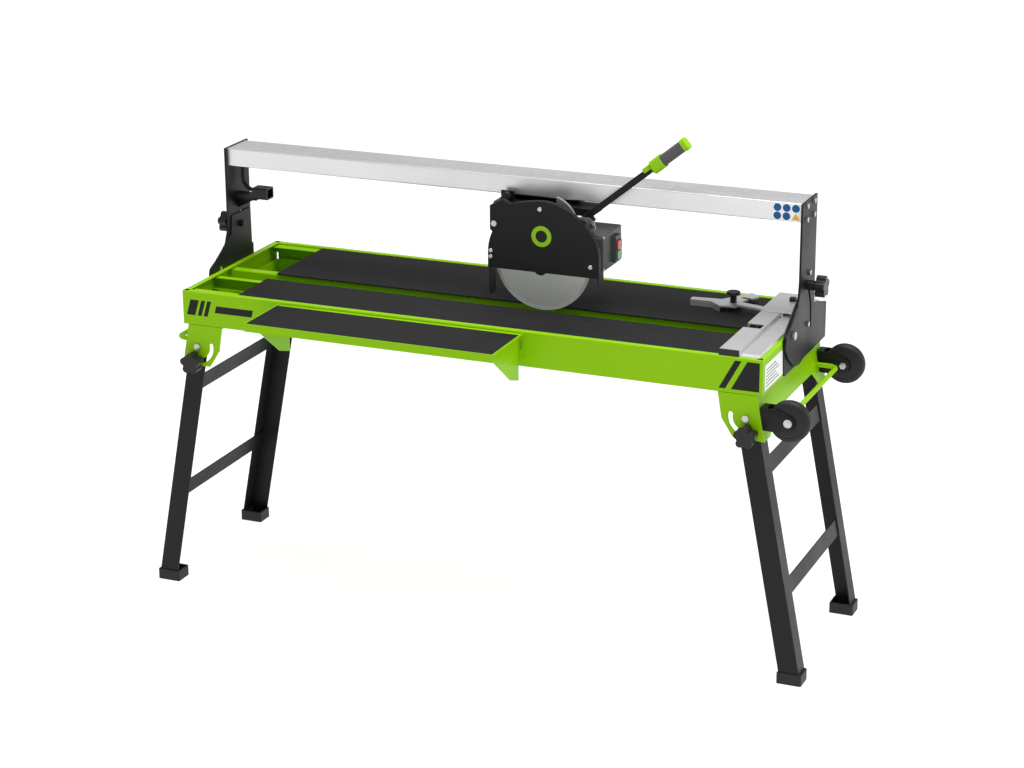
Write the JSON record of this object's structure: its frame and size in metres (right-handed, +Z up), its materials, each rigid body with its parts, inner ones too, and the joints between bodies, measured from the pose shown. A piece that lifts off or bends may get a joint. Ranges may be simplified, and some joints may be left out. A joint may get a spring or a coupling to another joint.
{
  "type": "bridge tile cutter",
  "caption": "Wet tile cutter with a ribbed table on folding legs, a saw head that rides an overhead beam, an angle stop and a side table.",
  "frame": {"origin": "the middle of the machine's outer box, on the floor", "axes": "+X along the cut towards the wheels, -Y towards the operator, +Z up"},
  "size_m": [1.7476, 0.728, 1.2475],
  "materials": {
    "lime_paint": "glossy powder coat",
    "black_paint": "fine-textured powder coat",
    "aluminium": "anodised, drawn along its length",
    "cast_aluminium": "cast, bead-blasted",
    "zinc": "zinc-plated",
    "steel": "ground",
    "blade_steel": "ground disc with a diamond rim",
    "rubber_mat": "finely ribbed sheet",
    "rubber": "moulded",
    "black_plastic": "moulded",
    "lime_plastic": "moulded",
    "grip_rubber": "soft moulded grip",
    "red_plastic": "moulded",
    "green_plastic": "moulded",
    "cable": "cable jacket"
  },
  "bodies": {
    "table": {"front_plate": "lime_paint", "back_plate": "lime_paint", "end_plates": "lime_paint", "slot_rails": "lime_paint", "table_panels": "lime_paint", "table_mats": "rubber_mat", "water_tray": "lime_paint", "drain_plug": "black_plastic", "leg_carriers": "lime_paint", "pivot_bolts": "zinc", "carry_bars": "lime_paint", "wheel_brackets": "black_paint", "tilt_brackets": "black_paint", "fence": "aluminium", "fence_caps": "black_plastic"},
    "legs_left": {"leg_frame_left": "black_paint", "feet_left": "rubber"},
    "legs_right": {"leg_frame_right": "black_paint", "feet_right": "rubber"},
    "lock_knob_front_left": {"lock_knob_front_left": "black_plastic"},
    "lock_knob_front_right": {"lock_knob_front_right": "black_plastic"},
    "lock_knob_back_left": {"lock_knob_back_left": "black_plastic"},
    "lock_knob_back_right": {"lock_knob_back_right": "black_plastic"},
    "wheel_front": {"wheel_front": "rubber"},
    "wheel_back": {"wheel_back": "rubber"},
    "side_table": {"side_table": "lime_paint", "side_mat": "rubber_mat"},
    "fence_slider": {"fence_slider": "aluminium"},
    "slider_knob": {"slider_knob": "black_plastic"},
    "angle_stop": {"angle_stop": "aluminium"},
    "stop_knob": {"stop_knob": "black_plastic"},
    "gantry": {"beam": "aluminium", "arms": "black_paint", "arm_bolts": "zinc", "inlet_box": "black_plastic", "inlet_cable": "cable"},
    "tilt_knob_left": {"tilt_knob_left": "black_plastic"},
    "tilt_knob_right": {"tilt_knob_right": "black_plastic"},
    "carriage": {"carriage": "aluminium", "hinge_pin": "zinc"},
    "rollers_left": {"rollers_left": "black_plastic"},
    "rollers_right": {"rollers_right": "black_plastic"},
    "depth_knob": {"depth_knob": "black_plastic"},
    "head": {"guard_cover": "black_paint", "guard_back": "black_paint", "head_screws": "zinc", "splash_flaps": "rubber", "head_casting": "cast_aluminium", "motor_housing": "cast_aluminium", "fan_cover": "black_plastic", "bearings": "steel", "handle_bar": "black_paint", "handle_grip": "grip_rubber", "handle_collars": "lime_plastic", "switch_box": "black_plastic"},
    "spindle": {"spindle": "steel", "blade": "blade_steel", "blade_flanges": "steel"},
    "start_button": {"start_button": "green_plastic"},
    "stop_button": {"stop_button": "red_plastic"}
  },
  "joints": [
    {"name": "leg_fold_left", "type": "hinge", "parent": "table", "child": "legs_left", "pos_m": [-0.722, 0.076, 0.656], "axis": [0, -1, 0], "range_deg": [0, 100]},
    {"name": "leg_fold_right", "type": "hinge", "parent": "table", "child": "legs_right", "pos_m": [0.722, 0.076, 0.656], "axis": [0, 1, 0], "range_deg": [0, 100]},
    {"name": "lock_knob_front_left_turn", "type": "hinge", "parent": "legs_left", "child": "lock_knob_front_left", "pos_m": [-0.72912, -0.194, 0.61867], "axis": [0, -1, 0], "range_deg": [0, 360]},
    {"name": "lock_knob_back_left_turn", "type": "hinge", "parent": "legs_left", "child": "lock_knob_back_left", "pos_m": [-0.72912, 0.346, 0.61867], "axis": [0, 1, 0], "range_deg": [0, 360]},
    {"name": "lock_knob_front_right_turn", "type": "hinge", "parent": "legs_right", "child": "lock_knob_front_right", "pos_m": [0.72912, -0.194, 0.61867], "axis": [0, -1, 0], "range_deg": [0, 360]},
    {"name": "lock_knob_back_right_turn", "type": "hinge", "parent": "legs_right", "child": "lock_knob_back_right", "pos_m": [0.72912, 0.346, 0.61867], "axis": [0, 1, 0], "range_deg": [0, 360]},
    {"name": "wheel_front_spin", "type": "hinge", "parent": "table", "child": "wheel_front", "pos_m": [0.822, -0.154, 0.655], "axis": [0, 1, 0], "continuous": true},
    {"name": "wheel_back_spin", "type": "hinge", "parent": "table", "child": "wheel_back", "pos_m": [0.822, 0.306, 0.655], "axis": [0, 1, 0], "continuous": true},
    {"name": "side_table_lift", "type": "slide", "parent": "table", "child": "side_table", "axis": [0, 0, 1], "range_m": [0, 0.15]},
    {"name": "fence_slider_slide", "type": "slide", "parent": "table", "child": "fence_slider", "axis": [0, 1, 0], "range_m": [-0.07, 0.01]},
    {"name": "slider_knob_turn", "type": "hinge", "parent": "fence_slider", "child": "slider_knob", "pos_m": [0.704, 0.238, 0.82], "axis": [0, 0, 1], "range_deg": [0, 360]},
    {"name": "angle_stop_turn", "type": "hinge", "parent": "fence_slider", "child": "angle_stop", "pos_m": [0.573, 0.174, 0.813], "axis": [0, 0, 1], "range_deg": [-25, 30]},
    {"name": "stop_knob_turn", "type": "hinge", "parent": "fence_slider", "child": "stop_knob", "pos_m": [0.573, 0.174, 0.83], "axis": [0, 0, 1], "range_deg": [0, 360]},
    {"name": "gantry_tilt", "type": "hinge", "parent": "table", "child": "gantry", "pos_m": [0, 0.026, 0.802], "axis": [1, 0, 0], "range_deg": [0, 45]},
    {"name": "tilt_knob_left_turn", "type": "hinge", "parent": "table", "child": "tilt_knob_left", "pos_m": [-0.78, 0.13784, 0.89585], "axis": [-1, 0, 0], "range_deg": [0, 360]},
    {"name": "tilt_knob_right_turn", "type": "hinge", "parent": "table", "child": "tilt_knob_right", "pos_m": [0.78, 0.13784, 0.89585], "axis": [1, 0, 0], "range_deg": [0, 360]},
    {"name": "carriage_slide", "type": "slide", "parent": "gantry", "child": "carriage", "axis": [1, 0, 0], "range_m": [-0.69, 0.455]},
    {"name": "rollers_left_spin", "type": "hinge", "parent": "carriage", "child": "rollers_left", "pos_m": [0.013, 0.1385, 1.076], "axis": [0, 1, 0], "range_deg": [-2900, 1920]},
    {"name": "rollers_right_spin", "type": "hinge", "parent": "carriage", "child": "rollers_right", "pos_m": [0.173, 0.1385, 1.076], "axis": [0, 1, 0], "range_deg": [-2900, 1920]},
    {"name": "depth_knob_turn", "type": "hinge", "parent": "carriage", "child": "depth_knob", "pos_m": [0.024, 0.063, 1.06], "axis": [0, 1, 0], "range_deg": [0, 360]},
    {"name": "head_plunge", "type": "hinge", "parent": "carriage", "child": "head", "pos_m": [0.0187, 0.076, 1.008], "axis": [0, 1, 0], "range_deg": [-9, 0]},
    {"name": "blade_spin", "type": "hinge", "parent": "head", "child": "spindle", "pos_m": [0.134, 0.076, 0.919], "axis": [0, 1, 0], "continuous": true},
    {"name": "start_button_press", "type": "slide", "parent": "head", "child": "start_button", "axis": [-1, 0, 0], "range_m": [0, 0.003], "stiffness_N_per_m": 400, "springref_m": -0.001},
    {"name": "stop_button_press", "type": "slide", "parent": "head", "child": "stop_button", "axis": [-1, 0, 0], "range_m": [0, 0.003], "stiffness_N_per_m": 400, "springref_m": -0.001}
  ],
  "couplings": [
    {"joint": "rollers_left_spin", "follows": "carriage_slide", "rad_per_m": 72.993},
    {"joint": "rollers_right_spin", "follows": "carriage_slide", "rad_per_m": 72.993}
  ]
}
